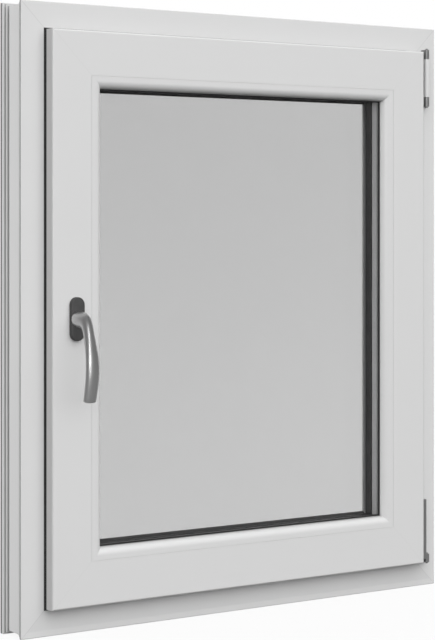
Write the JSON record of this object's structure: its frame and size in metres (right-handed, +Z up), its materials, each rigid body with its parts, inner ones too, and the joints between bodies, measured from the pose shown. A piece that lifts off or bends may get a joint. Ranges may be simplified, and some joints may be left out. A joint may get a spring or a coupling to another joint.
{
  "type": "tilt and turn window",
  "caption": "White plastic tilt and turn window with triple glazing, a curved lever handle on the left and hinges on the right.",
  "frame": {"origin": "centre of the rear land under the sill, the flat seat on which the frame stands in the wall opening", "axes": "+Z up, +Y through the wall to the outside, +X to the right as seen from the room"},
  "size_m": [0.8, 0.1395, 0.94],
  "materials": {
    "frame_upvc": "smooth satin",
    "sash_upvc": "smooth satin",
    "bead_upvc": "smooth satin",
    "glass": "clear polished",
    "spacer": "matt dark",
    "seal": "matt black",
    "rosette": "dark satin",
    "lever": "satin metal",
    "hinge_white": "smooth",
    "hinge_metal": "dark zinc"
  },
  "bodies": {
    "window": {"bead_bottom": "bead_upvc", "bead_left": "bead_upvc", "bead_right": "bead_upvc", "bead_top": "bead_upvc", "corner_band": "hinge_metal", "corner_bearing": "hinge_metal", "corner_pin": "hinge_metal", "frame_head": "frame_upvc", "frame_jamb_left": "frame_upvc", "frame_jamb_right": "frame_upvc", "frame_seal": "seal", "frame_sill": "frame_upvc", "glazing_seal_inner": "seal", "glazing_seal_outer": "seal", "handle_rosette": "rosette", "hinge_bearing_upper": "hinge_metal", "hinge_pin_upper": "hinge_metal", "hinge_sleeve": "hinge_white", "hinge_stay_arm": "hinge_metal", "pane_inner": "glass", "pane_middle": "glass", "pane_outer": "glass", "sash_rail_bottom": "sash_upvc", "sash_rail_top": "sash_upvc", "sash_seal": "seal", "sash_stile_left": "sash_upvc", "sash_stile_right": "sash_upvc", "spacer_inner": "spacer", "spacer_outer": "spacer"},
    "handle": {"handle_lever": "lever", "handle_spindle": "hinge_metal"}
  },
  "joints": [
    {"name": "handle_turn", "type": "hinge", "parent": "window", "child": "handle", "pos_m": [-0.319, -0.0795, 0.47], "axis": [0, -1, 0], "range_deg": [0, 180]}
  ]
}
